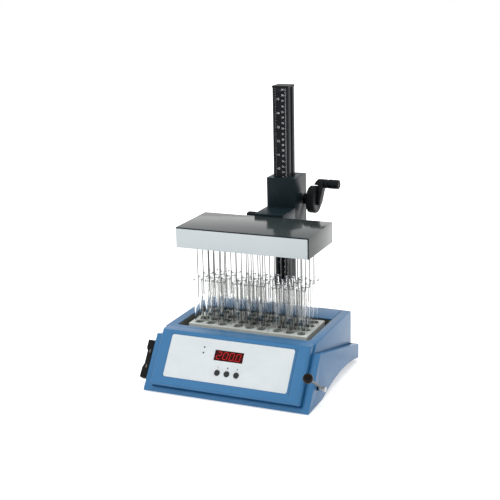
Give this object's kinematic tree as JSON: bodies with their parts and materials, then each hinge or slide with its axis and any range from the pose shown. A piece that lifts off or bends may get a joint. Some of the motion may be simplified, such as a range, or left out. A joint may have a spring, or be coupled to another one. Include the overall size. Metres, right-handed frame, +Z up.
{
  "type": "nitrogen sample evaporator",
  "caption": "Heated block with glass tubes under a crank-raised gas head on a graduated column, with a sloped control panel in a sheet cradle.",
  "frame": {"origin": "where the axis of the lift column meets the bench, at the centre of the foot under the column", "axes": "+X to the operator's right, -Y to the front, +Z up along the column"},
  "size_m": [0.3397, 0.3749, 0.5003],
  "materials": {
    "cradle_paint": "satin blue powder coat",
    "deck_paint": "satin blue powder coat",
    "fascia_paint": "satin blue",
    "label_film": "satin pale grey polyester film",
    "display_plastic": "gloss dark red filter",
    "board_laminate": "matte laminate",
    "lamp_plastic": "gloss dark lens",
    "button_plastic": "satin charcoal",
    "rubber_black": "matte",
    "steel_bright": "bright",
    "steel_dark": "dark coat",
    "insulation_felt": "matte mineral felt",
    "liner_paint": "dull dark grey",
    "plate_aluminium": "satin",
    "block_aluminium": "bead-blasted",
    "tube_glass": "clear",
    "inlet_plastic": "satin black",
    "column_anodised": "satin black anodised",
    "scale_film": "satin black with white figures",
    "cap_plastic": "matte black",
    "rack_steel": "machined",
    "carriage_paint": "satin slate coat",
    "bearing_plastic": "self-lubricating polymer",
    "bush_bronze": "sintered bronze",
    "crank_plastic": "matte black",
    "cover_paint": "gloss dark grey",
    "front_silver": "satin silver-white",
    "septum_rubber": "matte silicone",
    "fitting_plastic": "satin black",
    "ball_plastic": "gloss phenolic",
    "grip_plastic": "matte black"
  },
  "bodies": {
    "base": {"cradle_shell": "cradle_paint", "cradle_feet": "rubber_black", "foot_studs": "steel_bright", "fascia_frame": "fascia_paint", "control_label": "label_film", "display_window": "display_plastic", "control_board": "board_laminate", "indicator_lamps": "lamp_plastic", "heater_shell": "deck_paint", "heater_base_plate": "steel_bright", "heater_pads": "rubber_black", "power_board": "board_laminate", "insulation": "insulation_felt", "well_liner": "liner_paint", "heater_plate": "plate_aluminium", "cartridge_heaters": "steel_bright", "temperature_probe": "steel_bright", "service_cover": "deck_paint", "block_left": "block_aluminium", "block_middle": "block_aluminium", "block_right": "block_aluminium", "tubes_left": "tube_glass", "tubes_middle": "tube_glass", "tubes_right": "tube_glass", "mains_inlet": "inlet_plastic", "column": "column_anodised", "column_cap": "cap_plastic", "column_foot": "steel_dark", "foot_bolts": "steel_bright", "height_scale": "scale_film", "column_rack": "rack_steel", "lever_bush": "bush_bronze", "side_grip": "grip_plastic", "grip_screws": "steel_bright"},
    "head": {"carriage_body": "carriage_paint", "guide_pads": "bearing_plastic", "shaft_bushes": "bush_bronze", "head_arm": "carriage_paint", "head_bolts": "steel_bright", "chamber_cover": "cover_paint", "chamber_front": "front_silver", "gas_chamber": "plate_aluminium", "needle_plate": "plate_aluminium", "septum_mat": "septum_rubber", "needles": "steel_bright", "plate_screws": "steel_bright", "gas_inlet": "fitting_plastic"},
    "crank": {"pinion_shaft": "steel_bright", "pinion": "rack_steel", "crank_knob": "crank_plastic", "crank_arm": "crank_plastic", "grip_spindle": "steel_bright"},
    "grip": {"crank_grip": "crank_plastic"},
    "button_down": {"down_button": "button_plastic"},
    "button_stop": {"stop_button": "button_plastic"},
    "button_up": {"up_button": "button_plastic"},
    "lever": {"lever_shaft": "steel_bright", "lever_rod": "steel_bright", "lever_ball": "ball_plastic"},
    "rocker": {"power_rocker": "inlet_plastic"}
  },
  "joints": [
    {"name": "head_lift", "type": "slide", "parent": "base", "child": "head", "axis": [0, 0, 1], "range_m": [-0.055, 0.15]},
    {"name": "crank_turn", "type": "hinge", "parent": "head", "child": "crank", "pos_m": [0.03, 0.02, 0.288], "axis": [1, 0, 0], "range_deg": [-396, 1078]},
    {"name": "grip_spin", "type": "hinge", "parent": "crank", "child": "grip", "pos_m": [0.082, 0.02827, 0.31684], "axis": [1, 0, 0], "continuous": true},
    {"name": "down_press", "type": "slide", "parent": "base", "child": "button_down", "axis": [0, 0.8141, -0.5807], "range_m": [0, 0.001], "stiffness_N_per_m": 900, "springref_m": -0.0005},
    {"name": "stop_press", "type": "slide", "parent": "base", "child": "button_stop", "axis": [0, 0.8141, -0.5807], "range_m": [0, 0.001], "stiffness_N_per_m": 900, "springref_m": -0.0005},
    {"name": "up_press", "type": "slide", "parent": "base", "child": "button_up", "axis": [0, 0.8141, -0.5807], "range_m": [0, 0.001], "stiffness_N_per_m": 900, "springref_m": -0.0005},
    {"name": "lever_swing", "type": "hinge", "parent": "base", "child": "lever", "pos_m": [0.163, -0.2475, 0.031], "axis": [-1, 0, 0], "range_deg": [-25, 60]},
    {"name": "rocker_flip", "type": "hinge", "parent": "base", "child": "rocker", "pos_m": [-0.071, -0.039, 0.06], "axis": [1, 0, 0], "range_deg": [-22, 0]}
  ],
  "couplings": [
    {"joint": "crank_turn", "follows": "head_lift", "rad_per_m": 125}
  ]
}
